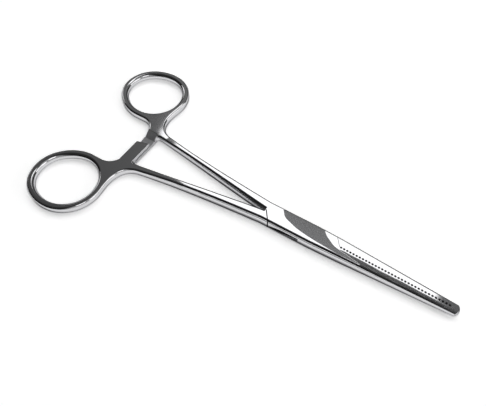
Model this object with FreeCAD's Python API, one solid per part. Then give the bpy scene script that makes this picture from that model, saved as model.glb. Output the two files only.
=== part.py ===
import FreeCAD, Part
import math
import os

from FreeCAD import Vector

# Straight box-lock haemostatic forceps, closed, in millimetres and degrees.
# The hinge pin stands on the Z axis, X runs to the jaw tip, and Y to the finger ring of the box half.
# Z = 0 is the flat underside of the box, and both halves are symmetrical about the plane of its middle.

# Whole instrument
OVERALL_LENGTH = 160.0
JAW_REACH = 57.0             # hinge axis to jaw tip
RING_SPREAD = 54.6           # between the two ring centres

# Finger rings, each round at the front and drawn out to a tighter end at the rear
RING_HOLE_WIDTH = 22.6
RING_HOLE_REAR = 13.2        # ring centre to the hole's rear end
RING_NARROW = 1.1            # the hole's rear end is this much tighter in radius than its front
RING_BAND = 3.0
RING_THICKNESS = 3.4
RING_TILT = 9.5              # each ring's rear end leans outwards
RING_HOLE_ROUNDING = 1.3

# Necks and ratchet arms
ARM_SETBACK = 10.45          # ring centres to the rear edge of the arms
ARM_WIDTH = 5.0
ARM_END_SLANT = 1.6          # how much further an arm's front corner reaches than its rear one
UPPER_ARM_REACH = 2.9        # past the middle line
LOWER_ARM_REACH = 6.2
ARM_ROOT = 7.85              # middle line to the root of the arms
ARM_FILLET = 1.6             # in the corner between arm and shank
NECK_HOLLOW = 6.2            # radius of the hollow behind the neck
NECK_WAIST = 1.6             # the neck's waist is this far behind the arm's front edge
NECK_WAIST_HEIGHT = 9.4      # and this far outwards from the arm's root
NECK_LEAVES = 2.0            # degrees past the ring's front end, where the neck's front edge leaves it
TOOTH_PITCH = 2.9
TOOTH_DEPTH = 0.55
TOOTH_GAP = 0.10             # between the crests of the two arms
RAMP_LENGTH = 3.2            # slope from the neck down to the teeth

# Shanks
SHANK_SPREAD = 18.0          # between the shanks' centre lines where the necks begin
SHANK_SLOPE = 0.108          # sideways per forwards, where a shank meets the box
SHANK_WIDTH_BOX = 3.9
SHANK_WIDTH_MIDDLE = 3.15
SHANK_WIDTH_WAIST = 2.55
SHANK_WIDTH_NECK = 2.95
SHANK_ROUNDING = 0.9
SHANK_SWELL = 2.0            # power of the shank's growth in thickness from neck to box

# Box
BOX_REAR = 15.2              # hinge axis to the crotch of the shanks
BOX_FRONT = 14.2             # hinge axis to the crotch of the jaws
BOX_WIDTH = 8.2
BOX_THICKNESS = 5.0
SHOULDER_LEAN = 36.0         # of the plates' ends, off square
CROTCH_GAP = 0.4             # between the shanks where they meet

# Lock inside the box
TENON_THICKNESS = 1.7
TENON_BOSS_RADIUS = 3.0
LOCK_CLEARANCE = 0.06        # round the tenon, and at the shoulders
OPENING_ANGLE = 40.0         # between the halves when fully open
PIN_DIAMETER = 2.4
PIN_CLEARANCE = 0.05         # radial, in the tenon

# Jaws
JAW_ROOT_WIDTH = 7.5
JAW_TIP_WIDTH = 3.95
JAW_TIP_THICKNESS = 2.8
JAW_TIP_ROUNDING = 1.0
SERRATION_PITCH = 1.17
SERRATION_DEPTH = 0.45
SERRATION_GAP = 0.08

# Places that follow from the sizes above
MIDDLE = BOX_THICKNESS / 2
SIDE = BOX_WIDTH / 2
LEAN = math.tan(math.radians(SHOULDER_LEAN))
TILT = -math.radians(RING_TILT)
LEAVES = math.radians(NECK_LEAVES)
EIGHTH = 1 + math.cos(math.pi / 8)
EASE = EIGHTH / (EIGHTH + math.sqrt(0.5))    # first cut's share of a rounding in three equal flats
RING_END_RADIUS = RING_HOLE_WIDTH / 2 - RING_NARROW
RING_DRAW = RING_HOLE_REAR - RING_END_RADIUS
RING_X = JAW_REACH - OVERALL_LENGTH + RING_DRAW * math.cos(TILT) + RING_END_RADIUS + RING_BAND
RING_Y = RING_SPREAD / 2
RING_SIDE_RADIUS = (RING_DRAW ** 2 / RING_NARROW + RING_HOLE_WIDTH / 2 + RING_END_RADIUS) / 2
RING_JOINT = math.pi - math.atan2(RING_SIDE_RADIUS - RING_HOLE_WIDTH / 2, RING_DRAW)
ARM_REAR_X = RING_X + ARM_SETBACK
ARM_FRONT_X = ARM_REAR_X + ARM_WIDTH
SHANK_END_X = ARM_FRONT_X + ARM_WIDTH
FINE = 0.01
TALL = 4 * BOX_THICKNESS
FORWARD = Vector(1, 0, 0)
UP = Vector(0, 0, 1)


def line(a, b):
    return Part.LineSegment(a, b).toShape()


def polygon(points):
    """Straight edges through points."""
    return [line(a, b) for a, b in zip(points, points[1:])]


def spline(points, start, end):
    """A smooth edge through points, leaving along start and arriving along end."""
    curve = Part.BSplineCurve()
    curve.interpolate(Points=points, InitialTangent=start, FinalTangent=end)
    return curve.toShape()


def ring_point(grow, turn, stretch):
    """The point of the ring's outline, grown outwards, that faces turn; stretch faces the same arc."""
    if abs(stretch) < math.pi / 2:
        x, y, radius = 0, 0, RING_HOLE_WIDTH / 2
    elif abs(stretch) < RING_JOINT:
        x, y, radius = 0, RING_HOLE_WIDTH / 2 - RING_SIDE_RADIUS, RING_SIDE_RADIUS
    else:
        x, y, radius = -RING_DRAW, 0, RING_END_RADIUS
    centre = Vector(x, math.copysign(y, -stretch), 0)
    place = centre + Vector(math.cos(turn), math.sin(turn), 0) * (radius + grow)
    return FreeCAD.Rotation(UP, math.degrees(TILT)).multVec(place) + Vector(RING_X, RING_Y, 0)


def ring_arc(grow, begin, finish):
    """The same outline as one edge from begin to finish, both ends of or within one of its arcs."""
    middle = (begin + finish) / 2
    return Part.Arc(*[ring_point(grow, turn, middle) for turn in (begin, middle, finish)]).toShape()


def ring_rear(grow):
    """The two side arcs and the end arc behind the ring's widest point."""
    side, joint = math.pi / 2, RING_JOINT
    end = ring_arc(grow, joint, 2 * math.pi - joint)
    return [ring_arc(grow, -joint, -side), end, ring_arc(grow, side, joint)]


def shank_station(share):
    """Middle, heading and width of a shank's section, from the box at 0 to the neck at 1."""
    length = -BOX_REAR - SHANK_END_X
    start = (SIDE + CROTCH_GAP / 2) / 2
    bend = (SHANK_SPREAD / 2 - start - SHANK_SLOPE * length) / length ** 2
    away = share * length
    middle = Vector(-BOX_REAR - away, start + SHANK_SLOPE * away + bend * away ** 2, 0)
    heading = -math.atan(SHANK_SLOPE + 2 * bend * away) if share else 0.0
    widths = {0.0: SHANK_WIDTH_BOX, 0.3: SHANK_WIDTH_MIDDLE, 0.65: SHANK_WIDTH_WAIST, 1.0: SHANK_WIDTH_NECK}
    width = 0.0
    for place, value in widths.items():
        for other in widths:
            if other != place:
                value *= (share - other) / (place - other)
        width += value
    return middle, heading, width


def prism(edges, low, high, hole=None):
    """A closed plan outline, with a hole where one is given, raised from low to high."""
    wires = [Part.Wire(Part.__sortEdges__(group)) for group in (edges, hole) if group]
    face = Part.makeFace(wires, "Part::FaceMakerBullseye")
    face.translate(Vector(0, 0, low))
    return face.extrude(Vector(0, 0, high - low))


def over(solid, plan_edges, height, inset):
    """The solid's level edges at a height above or below the middle, inset from the given plan edges."""
    found = []
    for edge in solid.Edges:
        middle = edge.valueAt((edge.FirstParameter + edge.LastParameter) / 2)
        end = edge.valueAt(edge.FirstParameter)
        spot = Part.Vertex(Vector(middle.x, middle.y, 0))
        level = abs(middle.z - end.z) < FINE and abs(abs(middle.z - MIDDLE) - height) < FINE
        aside = min(spot.distToShape(plan)[0] for plan in plan_edges)
        if level and abs(aside - inset) < FINE:
            found.append(edge)
    return found


def eased(plate, plan_edges, rounding):
    """A handle's plate with its edges over the plan edges rounded in three narrow flats."""
    top = RING_THICKNESS / 2
    first = rounding * EASE
    second = rounding - first
    plate = plate.makeChamfer(first, over(plate, plan_edges, top, 0))
    corners = over(plate, plan_edges, top, first) + over(plate, plan_edges, top - first, 0)
    return plate.makeChamfer(second, corners)


def rounded_section(middle, heading, width, height, rounding):
    """A rectangle with corners rounded in three flats, square to a heading and on the middle plane."""
    far, top = width / 2, height / 2
    short = rounding * (1 - EASE)
    cut = short * math.sqrt(0.5)
    steps = ((0, rounding), (cut, rounding - short - cut), (rounding - short - cut, cut), (rounding, 0))
    points = []
    for out, up in ((-1, -1), (1, -1), (1, 1), (-1, 1)):
        for side, down in (steps if out * up > 0 else reversed(steps)):
            points.append(Vector(0, out * (far - side), up * (top - down)))
    section = Part.Wire(polygon(points + points[:1]))
    section.rotate(Vector(), UP, math.degrees(heading))
    section.translate(middle + UP * MIDDLE)
    return section


def handle_plate():
    """Ring and neck of one handle, as a flat plate with rounded edges that ends where the shank begins."""
    middle, heading, width = shank_station(1)
    ahead = Vector(math.cos(heading), math.sin(heading), 0)
    outer = middle + UP.cross(ahead) * width / 2
    inner = middle - UP.cross(ahead) * width / 2
    lowest = -math.pi / 2 - TILT
    below = ring_point(RING_BAND, lowest, lowest)
    front = ring_point(RING_BAND, LEAVES, LEAVES)
    root = Vector(ARM_FRONT_X, ARM_ROOT, 0)
    foot = root - Vector(0, ARM_FILLET, 0)
    cut = ARM_FILLET * (1 - math.sqrt(0.5))
    hollow = Vector(ARM_REAR_X - NECK_HOLLOW, below.y - NECK_HOLLOW, 0)
    turned = NECK_HOLLOW * math.sqrt(0.5)
    leaving = Vector(math.sin(TILT + LEAVES), -math.cos(TILT + LEAVES), 0)
    rear_root = hollow + Vector(NECK_HOLLOW, 0, 0)
    behind = hollow + Vector(0, NECK_HOLLOW, 0)
    waist = Vector(ARM_FRONT_X - NECK_WAIST, ARM_ROOT + NECK_WAIST_HEIGHT, 0)
    rim = [
        ring_arc(RING_BAND, -math.pi / 2, lowest),
        ring_arc(RING_BAND, LEAVES, math.pi / 2),
        spline([inner, root + FORWARD * ARM_FILLET], -ahead, -FORWARD),
        Part.Arc(root + FORWARD * ARM_FILLET, root + Vector(cut, -cut, 0), foot).toShape(),
        Part.Arc(rear_root, hollow + Vector(turned, turned, 0), behind).toShape(),
        line(behind, below),
        spline([front, waist, outer], leaving, ahead),
    ] + ring_rear(RING_BAND)
    hole = [ring_arc(0, -math.pi / 2, math.pi / 2)] + ring_rear(0)
    half = RING_THICKNESS / 2
    plate = prism(rim + [line(foot, rear_root), line(outer, inner)], MIDDLE - half, MIDDLE + half, hole)
    return eased(eased(plate, hole, RING_HOLE_ROUNDING), rim, SHANK_ROUNDING)


def shank(plate):
    """One shank, lofted from the end of its flat neck to the full thickness of the box."""
    neck_end = shank_station(1)[0] + UP * MIDDLE
    end = min(plate.Faces, key=lambda face: face.CenterOfMass.distanceToPoint(neck_end))
    sections = [end.OuterWire]
    for share in (0.75, 0.5, 0.25, 0.0):
        height = BOX_THICKNESS - (BOX_THICKNESS - RING_THICKNESS) * share ** SHANK_SWELL
        middle, heading, width = shank_station(share)
        sections.append(rounded_section(middle, heading, width, height, SHANK_ROUNDING))
    return Part.makeLoft(sections, True)


def closed_front():
    """Box and both jaws as one body: straight sides at the box, and a taper to a blunt round tip."""
    box = Part.Face(rounded_section(-FORWARD * BOX_REAR, 0, BOX_WIDTH, BOX_THICKNESS, SHANK_ROUNDING))
    box = box.extrude(FORWARD * (BOX_REAR + SIDE))
    sections = []
    for x, width, height, rounding in (
            (SIDE, BOX_WIDTH, BOX_THICKNESS, SHANK_ROUNDING),
            (BOX_FRONT, JAW_ROOT_WIDTH, BOX_THICKNESS, SHANK_ROUNDING),
            (JAW_REACH, JAW_TIP_WIDTH, JAW_TIP_THICKNESS, JAW_TIP_ROUNDING)):
        sections.append(rounded_section(FORWARD * x, 0, width, height, rounding))
    jaws = Part.makeLoft(sections, True, True)
    blunt = math.hypot(JAW_TIP_WIDTH, JAW_TIP_THICKNESS) / 2
    ball = Part.makeSphere(blunt, Vector(JAW_REACH - blunt, 0, MIDDLE))
    block = Part.makeBox(TALL, TALL, TALL, Vector(JAW_REACH - blunt, -TALL / 2, MIDDLE - TALL / 2))
    return box.fuse(jaws).cut(block.cut(ball)).removeSplitter()


def ratchet_space(reach):
    """What is cut from above a lower ratchet arm: its ramp, its saw teeth, and room for the other arm."""
    crest = MIDDLE - TOOTH_GAP / 2
    base = crest - TOOTH_DEPTH
    first = -int(ARM_ROOT / TOOTH_PITCH)
    count = int(reach / TOOTH_PITCH) - first
    profile = [(first * TOOTH_PITCH - RAMP_LENGTH, TALL),
               (first * TOOTH_PITCH - RAMP_LENGTH, MIDDLE + RING_THICKNESS / 2 + FINE),
               (first * TOOTH_PITCH, base)]
    for i in range(first, first + count):
        profile += [(i * TOOTH_PITCH, crest), ((i + 1) * TOOTH_PITCH, base)]
    profile += [(reach + ARM_WIDTH, base), (reach + ARM_WIDTH, TALL)]
    points = [Vector(ARM_REAR_X - RING_BAND, -along, z) for along, z in profile]
    face = Part.Face(Part.Wire(polygon(points + points[:1])))
    return face.extrude(FORWARD * (RING_BAND + ARM_WIDTH))


def handle(reach):
    """Ring, neck, shank and the lower ratchet arm that reaches past the middle line."""
    rear_end = Vector(ARM_REAR_X, ARM_END_SLANT - reach, 0)
    front_end = Vector(ARM_FRONT_X, -reach, 0)
    inside = Vector(0, ARM_ROOT + RING_BAND / 2, 0)
    corners = [inside + Vector(ARM_REAR_X, 0, 0), rear_end, front_end, inside + Vector(ARM_FRONT_X, 0, 0)]
    half = RING_THICKNESS / 2
    arm = prism(polygon(corners + corners[:1]), MIDDLE - half, MIDDLE + half)
    plate = handle_plate()
    return plate.fuse(shank(plate)).fuse(arm).cut(ratchet_space(reach))


def turned_over(shape):
    """The same shape turned half round about the instrument's long axis, so that upper becomes lower."""
    copy = shape.copy()
    copy.rotate(Vector(0, 0, MIDDLE), FORWARD, 180)
    return copy


def rear_shoulder(y, gap=0.0):
    """The point at y on the line where the plates end behind the pin, gap further back."""
    return Vector(-BOX_REAR + (CROTCH_GAP / 2 - y) * LEAN - gap / math.cos(math.atan(LEAN)), y, 0)


def front_shoulder(y, gap=0.0):
    """The point at y on the line where the plates end ahead of the pin, gap further forwards."""
    return Vector(BOX_FRONT - y * LEAN + gap / math.cos(math.atan(LEAN)), y, 0)


def serrations(shift):
    """Cross teeth between the jaws, from beyond the tip back to the crotch, moved sideways by shift."""
    count = int((JAW_REACH - JAW_TIP_WIDTH / 2 - BOX_FRONT) / SERRATION_PITCH)
    points = [Vector(JAW_REACH + SIDE, shift, 0), Vector(BOX_FRONT + count * SERRATION_PITCH, shift, 0)]
    for i in range(count, 0, -1):
        x = BOX_FRONT + i * SERRATION_PITCH
        points.append(Vector(x - SERRATION_PITCH / 4, shift - SERRATION_DEPTH / 2, 0))
        points.append(Vector(x - 3 * SERRATION_PITCH / 4, shift + SERRATION_DEPTH / 2, 0))
    return points


def region(points):
    """Everything above and below a plan polygon."""
    return prism(polygon(points + points[:1]), -TALL, TALL)


def box_region():
    """Plan of the box half ahead of the shanks: the plates, and the near jaw."""
    wide = BOX_WIDTH
    gap = SERRATION_GAP / 2
    return region([Vector(-BOX_REAR, wide, 0), rear_shoulder(CROTCH_GAP / 2), rear_shoulder(-wide),
                   Vector(JAW_REACH + SIDE, -wide, 0)] + serrations(-gap)
                  + [Vector(BOX_FRONT, -gap, 0), front_shoulder(0), front_shoulder(wide)])


def tenon_half_regions():
    """Plans of the tenon half's full thickness: the end of its shank, and the far jaw."""
    wide = BOX_WIDTH
    gap = SERRATION_GAP / 2
    behind = region([Vector(-BOX_REAR, -wide, 0), rear_shoulder(-wide, LOCK_CLEARANCE),
                     rear_shoulder(-CROTCH_GAP / 2, LOCK_CLEARANCE), Vector(-BOX_REAR, -CROTCH_GAP / 2, 0)])
    ahead = region([Vector(JAW_REACH + SIDE, wide, 0)] + serrations(gap)
                   + [front_shoulder(gap, LOCK_CLEARANCE), front_shoulder(wide, LOCK_CLEARANCE)])
    return behind, ahead


def tangent(point, side):
    """Where a line from point touches the tenon's round boss, on its left (1) or its right (-1)."""
    along = math.atan2(point.y, point.x) + side * math.acos(TENON_BOSS_RADIUS / point.Length)
    return Vector(math.cos(along), math.sin(along), 0) * TENON_BOSS_RADIUS


def tenon_corners():
    """The tenon's four corners at the shoulders: behind far, behind near, ahead near, ahead far."""
    return (rear_shoulder(-CROTCH_GAP / 2, LOCK_CLEARANCE), rear_shoulder(-SIDE, LOCK_CLEARANCE),
            front_shoulder(SERRATION_GAP / 2, LOCK_CLEARANCE), front_shoulder(SIDE, LOCK_CLEARANCE))


def tenon():
    """The thin middle of the tenon half: a round boss for the pin, and a neck to each shoulder."""
    rear_far, rear_near, front_near, front_far = tenon_corners()
    into = FORWARD * SERRATION_PITCH
    half = TENON_THICKNESS / 2
    outline = [rear_far, tangent(rear_far, -1), tangent(front_far, 1), front_far, front_far + into,
               front_near, tangent(front_near, -1), tangent(rear_near, 1), rear_near, rear_near - into]
    web = prism(polygon(outline + outline[:1]), MIDDLE - half, MIDDLE + half)
    boss = Part.makeCylinder(TENON_BOSS_RADIUS, TENON_THICKNESS, Vector(0, 0, MIDDLE - half))
    return web.fuse(boss)


def window(still, moving, side):
    """The part of the slot that one neck of the tenon sweeps, between its still and its moving edge."""
    grown = (TENON_BOSS_RADIUS + LOCK_CLEARANCE) / TENON_BOSS_RADIUS
    turn = FreeCAD.Rotation(UP, OPENING_ANGLE)
    still_touch, moving_touch = tangent(still, side), tangent(moving, -side)
    closed = (still - still_touch).normalize()
    opened = turn.multVec(moving - moving_touch).normalize()
    start, finish = still_touch * grown, turn.multVec(moving_touch) * grown
    reach = 2 * BOX_REAR
    return [Vector(), start, start + closed * reach, finish + opened * reach, finish]


def slot():
    """The slot through the box, as wide as the tenon needs from closed to fully open."""
    rear_far, rear_near, front_near, front_far = tenon_corners()
    half = TENON_THICKNESS / 2 + LOCK_CLEARANCE
    low, high = MIDDLE - half, MIDDLE + half
    behind, ahead = window(rear_far, rear_near, -1), window(front_near, front_far, -1)
    space = Part.makeCylinder(TENON_BOSS_RADIUS + LOCK_CLEARANCE, 2 * half, Vector(0, 0, low))
    for outline in (behind, ahead):
        space = space.fuse(prism(polygon(outline + outline[:1]), low, high))
    limit = Part.makeBox(BOX_REAR + BOX_FRONT, 2 * BOX_WIDTH, 2 * half, Vector(-BOX_REAR, -BOX_WIDTH, low))
    return space.common(limit)


def pin(extra=0.0):
    return Part.makeCylinder(PIN_DIAMETER / 2 + extra, BOX_THICKNESS)


def box_half():
    """Far ring and shank, the box with its slot, the near jaw and the lower ratchet arm, in one forging."""
    front = closed_front().common(box_region())
    return handle(LOWER_ARM_REACH).fuse(front).cut(slot()).cut(pin()).removeSplitter()


def tenon_half():
    """Near ring and shank, the tenon, the far jaw and the upper ratchet arm, in one forging."""
    whole = closed_front()
    behind, ahead = tenon_half_regions()
    body = turned_over(handle(UPPER_ARM_REACH)).fuse(whole.common(behind)).fuse(whole.common(ahead))
    return body.fuse(tenon().common(whole)).cut(pin(PIN_CLEARANCE)).removeSplitter()


os.makedirs("parts", exist_ok=True)
for name, shape in (("box_half", box_half()), ("tenon_half", tenon_half()), ("hinge_pin", pin())):
    solid = shape.Solids[0] if len(shape.Solids) == 1 else shape
    box = solid.BoundBox
    extents = [round(v, 2) for v in (box.XMin, box.XMax, box.YMin, box.YMax, box.ZMin, box.ZMax)]
    print(name, "valid" if solid.isValid() else "NOT VALID", round(solid.Volume, 1), extents)
    solid.exportStep("parts/" + name + ".step")
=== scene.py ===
"""
Straight box-lock haemostatic forceps in polished steel, closed and lying on a white table, seen by
the photograph's camera.

Each piece is the CAD node's own mesh, with rounded edges that shade smooth. The ground flat, the
joints' lines and the painted shade in the mouths of the teeth are drawn by the material, at their
places on the steel.
Lengths are in metres, or in millimetres where a comment says so.
"""
import math

import bmesh
import bpy
import numpy as np
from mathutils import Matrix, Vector


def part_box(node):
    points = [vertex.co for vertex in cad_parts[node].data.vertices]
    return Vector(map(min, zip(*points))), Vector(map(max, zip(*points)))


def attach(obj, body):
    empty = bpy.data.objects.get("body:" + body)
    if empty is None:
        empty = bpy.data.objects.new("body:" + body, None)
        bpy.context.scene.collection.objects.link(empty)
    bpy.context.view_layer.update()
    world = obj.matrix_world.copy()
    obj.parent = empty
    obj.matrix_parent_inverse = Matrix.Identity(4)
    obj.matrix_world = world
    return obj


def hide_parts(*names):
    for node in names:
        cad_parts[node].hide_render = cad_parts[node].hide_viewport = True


bl_info = {
    "name": "Hemostat forceps",
    "version": (1, 0, 0),
    "blender": (4, 5, 0),
    "location": "View3D > Sidebar > Forceps",
    "description": "Builds closed box-lock forceps in polished steel on a pale studio floor",
    "category": "Add Mesh",
}

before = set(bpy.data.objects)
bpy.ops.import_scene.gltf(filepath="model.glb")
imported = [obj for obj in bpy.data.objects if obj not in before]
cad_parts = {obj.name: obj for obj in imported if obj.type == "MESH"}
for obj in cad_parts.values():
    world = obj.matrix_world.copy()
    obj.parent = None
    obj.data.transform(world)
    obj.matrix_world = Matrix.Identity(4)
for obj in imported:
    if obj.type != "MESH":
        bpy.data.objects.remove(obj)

MM = 0.001
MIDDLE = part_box("hinge_pin")[1].z / 2 / MM      # height of the middle plane, in millimetres

# The photograph's camera: its place in millimetres from the hinge pin's foot, and its angles in
# degrees, the first one turned from looking along +Y
CAMERA_PLACE = (27.73, -84.45, 147.74)
CAMERA_AZIMUTH = 31.98
CAMERA_ELEVATION = 55.79
CAMERA_LENS = 34.93
CAMERA_SENSOR = 36          # millimetres wide
CAMERA_CLIP = 0.01          # nothing nearer is drawn

# Meshes: points within this distance are merged. Faces within this angle, in degrees, share a
# normal. A face is level or upright when the upward share of its normal is above or below these.
# Triangles under this area, in square metres, don't lead.
MERGED_WITHIN = 2e-6
SMOOTH_ANGLE = 35
LEVEL_FACE = 0.985
UPRIGHT_FACE = 0.2
SLIVER = 1e-12

# Places on the steel, in millimetres: x along the instrument and y across it, from the hinge pin
GROUND_NEAR = ((-10.2, 4.2), (-8.9, 2.2), (-7.2, 0.5), (-5.1, -0.3), (-0.4, -1.6), (11.0, -2.7),
               (25.0, -3.1))             # outline of the ground flat towards the near side
GROUND_AHEAD = ((6.6, 4.2), (8.1, 2.0), (10.3, 0.5), (12.6, -0.7), (15.0, -1.2), (20.0, -1.9),
                (25.0, -3.1))            # its outline towards the jaws
GROUND_REAR = (-10.2, -9.8)              # x at its rear end, where it begins and where it is whole
GROUND_POINT = (25.0, 24.0)              # the same at its pointed front end
GROUND_EDGE = 0.12                       # half the width over which its outline fades
CROWN_ACROSS = (-0.4, -1.3)              # y where the near jaw's crown begins and where it is whole
CROWN_ALONG = (13.0, 17.0)               # the same along x
TOOTH_PITCH = 1.17
TEETH = (14.2, 54.0)                     # x where the row of teeth begins and where it ends
MOUTH_RADIUS = (0.46, 0.34)              # where the painted shade in the mouth of two teeth begins and where it is dark
RATCHET = (-76.5, -71.3)                 # x of the rear and front faces of the ratchet's arms
RATCHET_SPREAD = 9.3                     # their ramps and teeth lie within this of the middle line
RATCHET_DEPTH = 1.65                     # and within this of the middle plane
RATCHET_EDGE = 0.2                       # over which their blur ends at the sides
SOFT_END = 0.1                           # over which the joint lines and the row of teeth end

# The box's two joint lines: x on the middle line and at the outer edge, y of that edge, half the
# line's width, and how dark it is
REAR_SHOULDER = (-15.06, -11.9, -4.35, 0.32, 1.0)
FRONT_SHOULDER = (14.2, 11.1, 4.27, 0.18, 0.6)

# The upward share of the normal at which the steel counts as level, and as upright
LEVEL = (0.90, 0.97)
UPRIGHT = (0.30, 0.15)

# Buffing streaks: length, width and depth in millimetres, coarser than real ones so that they
# show. Then the span of the noise that is used, how much of its crown the jaw has at the span's
# ends, and the blur that streaks and crown add.
STREAK_SIZE = (6.6667, 0.8333, 1.0)
STREAK_DETAIL = 2.0
STREAK_SPAN = (0.3, 0.7)
STREAK_CROWN = (0.35, 1.5)
STREAK_BLUR = 0.04
CROWN_BLUR = 0.2

# The soft box overhead: its height and outline, with a slanted left end
OVERHEAD = 0.6
OVERHEAD_OUTLINE = ((-0.345, 0.290), (0.165, 0.290), (0.175, 0.450), (-0.484, 0.465),
                    (-0.484, 0.402))

# The other soft boxes: name, place, what it points at, width and height
SIDE_BOXES = (
    ("left soft box", (-0.75, 0.20, 0.35), (0, 0, 0), 0.3, 0.3),
    ("front soft box", (0.47, -0.30, 0.65), (-0.08, 0, 0), 0.34, 0.30),
    ("right soft box", (0.75, 0.35, 0.35), (0, 0, 0), 0.9, 0.5),
)
FILL_BOX = ("fill soft box", (-0.1, 0.25, 0.9), (0, 0, 0), 1.2, 0.8)

# The table's glow grows to full white between these distances from the hinge pin
GLOW_REACH = (0.25, 1.2)

# The dim room: its brightness in front, what the back adds and how fast, the share that is left
# near the horizon and the sines of the elevations between which it rises, and the brighter right
# side with the x and y of the directions where it begins and is whole
ROOM_FRONT = 0.03
ROOM_BACK = 0.3
ROOM_BACK_POWER = 1.2
ROOM_LOW = 0.15
ROOM_RISE = (0.4, 0.65)
ROOM_RIGHT = 0.45
ROOM_RIGHT_X = (0.15, 0.6)
ROOM_RIGHT_Y = (0.5, 0.2)


def linear(hex_colour):
    """An sRGB hex colour as linear red, green, blue and an alpha of 1."""
    shares = [int(hex_colour[i:i + 2], 16) / 255 for i in (1, 3, 5)]
    return [s / 12.92 if s <= 0.04045 else ((s + 0.055) / 1.055) ** 2.4 for s in shares] + [1.0]


def new_material(name):
    """A material and its node tree, emptied."""
    material = bpy.data.materials.new(name)
    material.use_nodes = True
    material.node_tree.nodes.clear()
    return material, material.node_tree


def add_node(tree, kind, settings=None, inputs=None):
    """
    A new node with its settings. An input, named by its socket's name or number, gets a value, the
    socket that feeds it, or the node whose first output does.
    """
    node = tree.nodes.new(kind)
    for key, value in (settings or {}).items():
        setattr(node, key, value)
    for key, value in (inputs or {}).items():
        if isinstance(value, bpy.types.Node):
            value = value.outputs[0]
        if isinstance(value, bpy.types.NodeSocket):
            tree.links.new(value, node.inputs[key])
        else:
            node.inputs[key].default_value = value
    return node


def masked(tree, steps, *shares):
    """
    The product of smooth steps and of further shares. A step is a value, where it begins to count
    and where it counts in full.
    """
    factors = [add_node(tree, "ShaderNodeMapRange", {"interpolation_type": "SMOOTHSTEP"},
                        {"Value": value, "From Min": begins, "From Max": whole})
               for value, begins, whole in steps]
    factors.extend(shares)
    result = factors[0]
    for factor in factors[1:]:
        result = add_node(tree, "ShaderNodeMath", {"operation": "MULTIPLY"},
                          {0: result, 1: factor})
    return result


def outline(tree, x, points):
    """The y of a smooth curve through points of the plan, at each x, in millimetres."""
    left, right = points[0][0], points[-1][0]
    low, high = min(y for _, y in points), max(y for _, y in points)
    share = add_node(tree, "ShaderNodeMapRange", {},
                     {"Value": x, "From Min": left, "From Max": right})
    curve = add_node(tree, "ShaderNodeFloatCurve", {}, {"Value": share})
    line = curve.mapping.curves[0]
    places = [((px - left) / (right - left), (py - low) / (high - low)) for px, py in points]
    line.points[0].location, line.points[1].location = places[0], places[-1]
    for place in places[1:-1]:
        line.points.new(*place)
    curve.mapping.update()
    return add_node(tree, "ShaderNodeMapRange", {},
                    {"Value": curve, "To Min": low, "To Max": high})


def ground_flat(tree, x, y, upward):
    """1 on the level faces between the flat's near outline and the one ahead of it."""
    over = add_node(tree, "ShaderNodeMath", {"operation": "SUBTRACT"},
                    {0: y, 1: outline(tree, x, GROUND_NEAR)})
    behind = add_node(tree, "ShaderNodeMath", {"operation": "SUBTRACT"},
                      {0: outline(tree, x, GROUND_AHEAD), 1: y})
    return masked(tree, [(over, -GROUND_EDGE, GROUND_EDGE), (behind, -GROUND_EDGE, GROUND_EDGE),
                         (x, *GROUND_REAR), (x, *GROUND_POINT), (upward, *LEVEL)])


def crowned_jaw(tree, x, y, streaks, ground):
    """
    How much of its crown the near jaw's top has: more or less of it with the streaks, and none on
    the ground flat.
    """
    uneven = add_node(tree, "ShaderNodeMapRange", {}, {
        "Value": streaks, "From Min": STREAK_SPAN[0], "From Max": STREAK_SPAN[1],
        "To Min": STREAK_CROWN[0], "To Max": STREAK_CROWN[1]})
    unground = add_node(tree, "ShaderNodeMath", {"operation": "SUBTRACT"}, {0: 1.0, 1: ground})
    return masked(tree, [(y, *CROWN_ACROSS), (x, *CROWN_ALONG)], uneven, unground)


def tooth_mouth_shade(tree, x, y):
    """1 within small circles on the middle line, one for each tooth, a pitch apart: painted shade
    in the teeth's mouths.
    """
    first, last = TEETH
    half = TOOTH_PITCH / 2
    from_first = add_node(tree, "ShaderNodeMath", {"operation": "SUBTRACT"},
                          {0: x, 1: first + half})
    from_nearest = add_node(tree, "ShaderNodeMath", {"operation": "WRAP"},
                            {0: from_first, 1: half, 2: -half})
    spot = add_node(tree, "ShaderNodeCombineXYZ", {}, {"X": from_nearest, "Y": y})
    away = add_node(tree, "ShaderNodeVectorMath", {"operation": "LENGTH"}, {0: spot})
    return masked(tree, [(x, first, first + SOFT_END), (x, last, last - SOFT_END),
                         (away.outputs["Value"], *MOUTH_RADIUS)])


def joint_line(tree, x, y, shoulder):
    """The line's darkness along its straight run and 0 beyond half its width from it."""
    inner, outer, edge, half, darkness = shoulder
    at = add_node(tree, "ShaderNodeMapRange", {"clamp": False}, {
        "Value": y, "From Min": 0.0, "From Max": edge, "To Min": inner, "To Max": outer})
    apart = add_node(tree, "ShaderNodeMath", {"operation": "SUBTRACT"}, {0: x, 1: at})
    aside = add_node(tree, "ShaderNodeMath", {"operation": "ABSOLUTE"}, {0: apart})
    low, high = sorted((0.0, edge))
    return masked(tree, [(y, low - SOFT_END, low + SOFT_END),
                         (y, high + SOFT_END, high - SOFT_END),
                         (aside, half, half / 2)], darkness)


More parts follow.
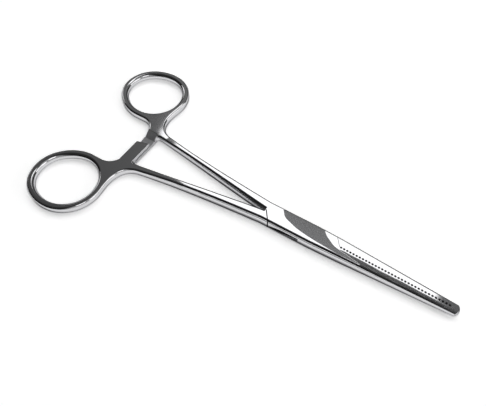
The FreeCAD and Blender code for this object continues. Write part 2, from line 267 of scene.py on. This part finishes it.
def ratchet_faces(tree, x, y, z, blur):
    """The blur on the ratchet's ramps and teeth, which lie close to the middle plane."""
    rear, front = RATCHET
    aside = add_node(tree, "ShaderNodeMath", {"operation": "ABSOLUTE"}, {0: y})
    height = add_node(tree, "ShaderNodeMath", {"operation": "SUBTRACT"}, {0: z, 1: MIDDLE})
    deep = add_node(tree, "ShaderNodeMath", {"operation": "ABSOLUTE"}, {0: height})
    return masked(tree, [(x, rear - RATCHET_EDGE, rear), (x, front + RATCHET_EDGE, front),
                         (aside, RATCHET_SPREAD + RATCHET_EDGE, RATCHET_SPREAD),
                         (deep, RATCHET_DEPTH, RATCHET_DEPTH - SOFT_END)], blur)


def polished_steel(finish):
    """
    Mirror-polished stainless steel: forged, ground and buffed, so it shows the room with hardly
    any blur. The flat round the rivet was ground again after riveting, which leaves it satin and
    leaning a little. The near jaw's top is crowned towards its outer edge, and all sides are
    slightly round. The joint lines are dark, and painted shade darkens the mouths of the teeth.
    """
    material, tree = new_material("polished stainless steel")
    place = add_node(tree, "ShaderNodeTexCoord")
    in_mm = add_node(tree, "ShaderNodeVectorMath", {"operation": "SCALE"},
                     {0: place.outputs["Object"], "Scale": 1 / MM})
    x, y, z = add_node(tree, "ShaderNodeSeparateXYZ", {}, {0: in_mm}).outputs
    facing = add_node(tree, "ShaderNodeSeparateXYZ", {}, {0: place.outputs["Normal"]})
    upward = add_node(tree, "ShaderNodeMath", {"operation": "ABSOLUTE"}, {0: facing.outputs["Z"]})
    level = masked(tree, [(upward, *LEVEL)])
    grain = add_node(tree, "ShaderNodeVectorMath", {"operation": "DIVIDE"},
                     {0: in_mm, 1: STREAK_SIZE})
    streaks = add_node(tree, "ShaderNodeTexNoise", {},
                       {"Vector": grain, "Scale": 1.0, "Detail": STREAK_DETAIL})
    ground = ground_flat(tree, x, y, upward)
    crown = crowned_jaw(tree, x, y, streaks, ground)

    # The shading normal leans across the flat and the crown, and up and down over the round sides
    crown_lean = add_node(tree, "ShaderNodeMath", {"operation": "MULTIPLY"},
                          {0: crown, 1: -finish.jaw_crown})
    top_lean = add_node(tree, "ShaderNodeMath", {"operation": "MULTIPLY_ADD"},
                        {0: ground, 1: finish.ground_lean, 2: crown_lean})
    height = add_node(tree, "ShaderNodeMath", {"operation": "MULTIPLY_ADD"},
                      {0: z, 1: 1 / MIDDLE, 2: -1.0})
    lean = add_node(tree, "ShaderNodeCombineXYZ", {}, {
        "Y": masked(tree, [], top_lean, level),
        "Z": masked(tree, [(upward, *UPRIGHT)], height, finish.side_crown)})
    leaning = add_node(tree, "ShaderNodeVectorMath", {"operation": "ADD"},
                       {0: place.outputs["Normal"], 1: lean})
    normal = add_node(tree, "ShaderNodeVectorTransform", {
        "vector_type": "NORMAL", "convert_from": "OBJECT", "convert_to": "WORLD"}, {0: leaning})

    # Dark joint lines, and painted shade in the mouths of the teeth, darken the steel's colour
    dark_joints_and_shade = tooth_mouth_shade(tree, x, y)
    for shoulder in (REAR_SHOULDER, FRONT_SHOULDER):
        dark_joints_and_shade = add_node(tree, "ShaderNodeMath", {"operation": "MAXIMUM"},
                           {0: dark_joints_and_shade, 1: joint_line(tree, x, y, shoulder)})
    colour = add_node(tree, "ShaderNodeMix", {"data_type": "RGBA"}, {
        0: dark_joints_and_shade, 6: linear(finish.steel_colour), 7: linear(finish.joint_and_shade_colour)})

    satin = add_node(tree, "ShaderNodeMath", {"operation": "MULTIPLY_ADD"},
                     {0: streaks, 1: STREAK_BLUR, 2: finish.ground_roughness - STREAK_BLUR / 2})
    blur = masked(tree, [], ground, satin)
    for more in (ratchet_faces(tree, x, y, z, finish.arm_roughness),
                 masked(tree, [], crown, level, CROWN_BLUR)):
        blur = add_node(tree, "ShaderNodeMath", {"operation": "MAXIMUM"}, {0: blur, 1: more})
    roughness = add_node(tree, "ShaderNodeMath", {"operation": "ADD"},
                         {0: blur, 1: finish.steel_roughness})
    # The dark Specular Tint paints shade into the steel's glancing reflections along its edges
    shader = add_node(tree, "ShaderNodeBsdfPrincipled", {}, {
        "Base Color": colour.outputs[2], "Metallic": 1.0, "Roughness": roughness,
        "Specular Tint": linear(finish.edge_shade_colour), "Normal": normal})
    add_node(tree, "ShaderNodeOutputMaterial", {}, {"Surface": shader})
    return material


def corner_normals(mesh):
    """
    A shading normal for each corner of a triangle mesh: the mean, weighted by area, of the
    normals that meet at the corner's point within SMOOTH_ANGLE of its own triangle's. Where level
    or upright faces are among them, only those count, so flats stay flat and the narrow faces
    between them shade as one round edge.
    """
    count = len(mesh.polygons)
    normal, area = np.empty(count * 3), np.empty(count)
    point = np.empty(count * 3, dtype=int)
    mesh.polygons.foreach_get("normal", normal)
    mesh.polygons.foreach_get("area", area)
    mesh.loops.foreach_get("vertex_index", point)
    normal = normal.reshape(-1, 3)
    upward = np.abs(normal[:, 2])
    leads = ((upward > LEVEL_FACE) | (upward < UPRIGHT_FACE)) & (area > SLIVER)

    # Each corner is paired with every corner at the same point, itself too
    order = np.argsort(point, kind="stable")
    sharing = np.bincount(point)
    first_place = np.cumsum(sharing) - sharing
    partners = sharing[point[order]]
    corner = np.repeat(order, partners)
    step = np.arange(len(corner)) - np.repeat(np.cumsum(partners) - partners, partners)
    other = order[np.repeat(first_place[point[order]], partners) + step]

    alike = np.einsum("ij,ij->i", normal[corner // 3], normal[other // 3])
    near = alike > math.cos(math.radians(SMOOTH_ANGLE))
    led = np.zeros(count * 3, dtype=bool)
    np.logical_or.at(led, corner, near & leads[other // 3])
    counts = near & (leads[other // 3] | ~led[corner])
    total = normal[np.arange(count * 3) // 3] * SLIVER
    np.add.at(total, corner[counts], (normal * area[:, None])[other[counts] // 3])
    return total / np.linalg.norm(total, axis=1, keepdims=True)


def merged_copy(node, name):
    """A CAD node's triangles as one closed mesh, with rounded edges that shade smooth."""
    mesh = bpy.data.meshes.new(name)
    work = bmesh.new()
    work.from_mesh(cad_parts[node].data)
    bmesh.ops.remove_doubles(work, verts=work.verts, dist=MERGED_WITHIN)
    work.to_mesh(mesh)
    work.free()
    mesh.shade_smooth()
    mesh.normals_split_custom_set(corner_normals(mesh))
    piece = bpy.data.objects.new(name, mesh)
    bpy.context.scene.collection.objects.link(piece)
    return piece


def dress(piece, body, node, material):
    """Gives a piece its material and its body, and hides the CAD node it stands for."""
    piece.data.materials.clear()
    piece.data.materials.append(material)
    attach(piece, body)
    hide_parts(node)


def soft_box(name, place, target, width, height, radiance):
    """A rectangular lamp that shows in reflections; radiance 1 is white."""
    lamp = bpy.data.lights.new(name, "AREA")
    lamp.shape = "RECTANGLE"
    lamp.size, lamp.size_y = width, height
    lamp.energy = radiance * math.pi * width * height
    box = bpy.data.objects.new(name, lamp)
    box.location = place
    box.rotation_euler = (Vector(target) - Vector(place)).to_track_quat("-Z", "Y").to_euler()
    bpy.context.scene.collection.objects.link(box)
    return box


def stage_panel(name, corners, material):
    """A flat polygon of the set, through its corners."""
    mesh = bpy.data.meshes.new(name)
    mesh.from_pydata(corners, [], [tuple(range(len(corners)))])
    mesh.materials.append(material)
    panel = bpy.data.objects.new(name, mesh)
    bpy.context.scene.collection.objects.link(panel)
    return panel


def white_table(studio):
    """
    Matt white laminate. It glows where the eye or the steel sees it, more so far away, so it looks
    like the full white of a lit paper sweep and still takes the object's shadow.
    """
    material, tree = new_material("matt white laminate")
    matt = add_node(tree, "ShaderNodeBsdfDiffuse", {}, {"Color": linear(studio.floor_colour)})
    place = add_node(tree, "ShaderNodeTexCoord")
    far = add_node(tree, "ShaderNodeVectorMath", {"operation": "LENGTH"},
                   {0: place.outputs["Object"]})
    strength = add_node(tree, "ShaderNodeMapRange", {}, {
        "Value": far.outputs["Value"], "From Min": GLOW_REACH[0], "From Max": GLOW_REACH[1],
        "To Min": studio.floor_glow, "To Max": 1.0})
    glow = add_node(tree, "ShaderNodeEmission", {}, {"Color": (1, 1, 1, 1), "Strength": strength})
    path = add_node(tree, "ShaderNodeLightPath")
    seen = path.outputs["Is Camera Ray"]
    for ray in ("Is Transmission Ray", "Is Glossy Ray"):
        seen = add_node(tree, "ShaderNodeMath", {"operation": "MAXIMUM"},
                        {0: seen, 1: path.outputs[ray]})
    both = add_node(tree, "ShaderNodeAddShader", {}, {0: matt, 1: glow})
    lit = add_node(tree, "ShaderNodeMixShader", {}, {0: seen, 1: matt, 2: both})
    add_node(tree, "ShaderNodeOutputMaterial", {}, {"Surface": lit})
    return material


def lamp_cloth(strength):
    """The white diffuser cloth of a soft box, lit from behind: an even glow."""
    material, tree = new_material("soft box diffuser cloth")
    glow = add_node(tree, "ShaderNodeEmission", {}, {"Color": (1, 1, 1, 1), "Strength": strength})
    add_node(tree, "ShaderNodeOutputMaterial", {}, {"Surface": glow})
    return material


def dim_room():
    """
    The unlit room that the steel's dark parts mirror: almost black in front, dim at the back with
    less near the horizon, and lighter low on the right.
    """
    world = bpy.data.worlds.new("dim studio")
    world.use_nodes = True
    tree = world.node_tree
    tree.nodes.clear()
    place = add_node(tree, "ShaderNodeTexCoord")
    x, y, z = add_node(tree, "ShaderNodeSeparateXYZ", {}, {0: place.outputs["Generated"]}).outputs
    behind = add_node(tree, "ShaderNodeMath", {"operation": "MAXIMUM"}, {0: y, 1: 0.0})
    gain = add_node(tree, "ShaderNodeMath", {"operation": "POWER"},
                    {0: behind, 1: ROOM_BACK_POWER})
    back = add_node(tree, "ShaderNodeMath", {"operation": "MULTIPLY_ADD"},
                    {0: gain, 1: ROOM_BACK, 2: ROOM_FRONT})
    rise = add_node(tree, "ShaderNodeMapRange", {}, {
        "Value": z, "From Min": ROOM_RISE[0], "From Max": ROOM_RISE[1],
        "To Min": ROOM_LOW, "To Max": 1.0})
    right = masked(tree, [(x, *ROOM_RIGHT_X), (y, *ROOM_RIGHT_Y)], ROOM_RIGHT)
    grey = add_node(tree, "ShaderNodeMath", {"operation": "MAXIMUM"},
                    {0: masked(tree, [], back, rise), 1: right})
    sky = add_node(tree, "ShaderNodeBackground", {}, {"Color": grey, "Strength": 1.0})
    add_node(tree, "ShaderNodeOutputWorld", {}, {"Surface": sky})
    return world


def photograph_camera():
    """The camera that was fitted to the photograph."""
    camera = bpy.data.cameras.new("camera")
    camera.sensor_width = CAMERA_SENSOR
    camera.lens = CAMERA_LENS
    camera.clip_start = CAMERA_CLIP
    view = bpy.data.objects.new("camera", camera)
    view.location = [c * MM for c in CAMERA_PLACE]
    view.rotation_euler = (math.radians(90 - CAMERA_ELEVATION), 0, math.radians(CAMERA_AZIMUTH))
    bpy.context.scene.collection.objects.link(view)
    return view


class FinishSizes(bpy.types.PropertyGroup):
    """Colours and finish of the steel."""
    steel_colour: bpy.props.StringProperty(
        name="Steel", description="Colour of the polished steel, as an sRGB hex value",
        default="#CFCFD1")
    # A dark tint of the glancing reflections, which paints shade along the steel's edges
    edge_shade_colour: bpy.props.StringProperty(
        name="Edge shade", description="Tint of the steel's glancing reflections, as an sRGB hex value",
        default="#202020")
    # Colour of the dark joint lines and of the painted shade in the mouths of the teeth
    joint_and_shade_colour: bpy.props.StringProperty(
        name="Joints and shade", description="Colour in joints and tooth mouths, as an sRGB hex value",
        default="#161616")
    steel_roughness: bpy.props.FloatProperty(
        name="Roughness", description="Blur of the polished steel's reflections",
        default=0.06, min=0, max=1, subtype="FACTOR")
    ground_roughness: bpy.props.FloatProperty(
        name="Ground roughness", description="Blur added on the ground flat of the box",
        default=0.14, min=0, max=1, subtype="FACTOR")
    arm_roughness: bpy.props.FloatProperty(
        name="Arm roughness", description="Blur added on the ratchet's ramps and teeth",
        default=0.55, min=0, max=1, subtype="FACTOR")
    ground_lean: bpy.props.FloatProperty(
        name="Ground lean", description="Slope of the ground flat's shading towards the far side",
        default=0.15)
    jaw_crown: bpy.props.FloatProperty(
        name="Jaw crown", description="Slope of the near jaw's shading towards its outer edge",
        default=0.16)
    side_crown: bpy.props.FloatProperty(
        name="Side crown", description="Slope of the round sides' shading at full height",
        default=0.95)


class StudioSizes(bpy.types.PropertyGroup):
    """The photographer's table and lights."""
    floor_colour: bpy.props.StringProperty(
        name="Floor", description="Colour of the table, as an sRGB hex value", default="#FAFAFA")
    floor_width: bpy.props.FloatProperty(
        name="Floor width", description="Width of the table", default=8.0, min=0.5, unit="LENGTH")
    floor_glow: bpy.props.FloatProperty(
        name="Floor glow", description="White added to the table near the object", default=0.33,
        min=0)
    overhead_radiance: bpy.props.FloatProperty(
        name="Overhead", description="Brightness of the overhead soft box, 1 for white",
        default=1.75, min=0)
    side_radiance: bpy.props.FloatProperty(
        name="Sides", description="Brightness of the side soft boxes, 1 for white", default=1.5,
        min=0)
    fill_radiance: bpy.props.FloatProperty(
        name="Fill", description="Brightness of the fill light that the steel doesn't mirror",
        default=1.95, min=0)


class FORCEPS_OT_box_half(bpy.types.Operator):
    """Add the half with the slotted box, the near jaw and the far finger ring"""
    bl_idname = "forceps.box_half"
    bl_label = "Box half"

    def execute(self, context):
        steel = polished_steel(context.scene.forceps_finish)
        piece = merged_copy("box_half", "box_half_forging")
        dress(piece, "box_half", "box_half", steel)
        return {"FINISHED"}


class FORCEPS_OT_tenon_half(bpy.types.Operator):
    """Add the half with the tenon, the far jaw and the near finger ring"""
    bl_idname = "forceps.tenon_half"
    bl_label = "Tenon half"

    def execute(self, context):
        steel = polished_steel(context.scene.forceps_finish)
        piece = merged_copy("tenon_half", "tenon_half_forging")
        dress(piece, "tenon_half", "tenon_half", steel)
        return {"FINISHED"}


class FORCEPS_OT_hinge_pin(bpy.types.Operator):
    """Add the rivet that joins the halves"""
    bl_idname = "forceps.hinge_pin"
    bl_label = "Hinge pin"

    def execute(self, context):
        steel = polished_steel(context.scene.forceps_finish)
        piece = merged_copy("hinge_pin", "hinge_rivet")
        dress(piece, "box_half", "hinge_pin", steel)
        return {"FINISHED"}


class FORCEPS_OT_studio(bpy.types.Operator):
    """Add the table, the lights, the dim room and the camera"""
    bl_idname = "forceps.studio"
    bl_label = "Studio"

    def execute(self, context):
        studio = context.scene.forceps_studio
        scene = context.scene
        half = studio.floor_width / 2
        corners = [(-half, -half, 0), (half, -half, 0), (half, half, 0), (-half, half, 0)]
        stage_panel("table", corners, white_table(studio))
        corners = [(x, y, OVERHEAD) for x, y in OVERHEAD_OUTLINE]
        cloth = lamp_cloth(studio.overhead_radiance)
        overhead = stage_panel("overhead soft box", corners, cloth)
        overhead.visible_camera = False
        for lamp in SIDE_BOXES:
            soft_box(*lamp, studio.side_radiance)
        fill = soft_box(*FILL_BOX, studio.fill_radiance)
        fill.visible_glossy = False
        scene.world = dim_room()
        scene.camera = photograph_camera()
        scene.view_settings.view_transform = "Standard"
        return {"FINISHED"}


OPERATORS = (FORCEPS_OT_box_half, FORCEPS_OT_tenon_half, FORCEPS_OT_hinge_pin, FORCEPS_OT_studio)


class FORCEPS_PT_panel(bpy.types.Panel):
    """Lists the sizes and colours, and the operators that add the pieces"""
    bl_label = "Hemostat forceps"
    bl_idname = "FORCEPS_PT_panel"
    bl_space_type = "VIEW_3D"
    bl_region_type = "UI"
    bl_category = "Forceps"

    def draw(self, context):
        for group in (context.scene.forceps_finish, context.scene.forceps_studio):
            box = self.layout.box()
            for name in group.__annotations__:
                box.prop(group, name)
        for operator in OPERATORS:
            self.layout.operator(operator.bl_idname)


CLASSES = (FinishSizes, StudioSizes) + OPERATORS + (FORCEPS_PT_panel,)


def register():
    for each in CLASSES:
        bpy.utils.register_class(each)
    bpy.types.Scene.forceps_finish = bpy.props.PointerProperty(type=FinishSizes)
    bpy.types.Scene.forceps_studio = bpy.props.PointerProperty(type=StudioSizes)


def unregister():
    del bpy.types.Scene.forceps_studio
    del bpy.types.Scene.forceps_finish
    for each in reversed(CLASSES):
        bpy.utils.unregister_class(each)


def main():
    register()
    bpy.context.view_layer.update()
    bpy.ops.forceps.box_half()
    bpy.ops.forceps.tenon_half()
    bpy.ops.forceps.hinge_pin()
    bpy.ops.forceps.studio()


if __name__ == "__main__":
    main()
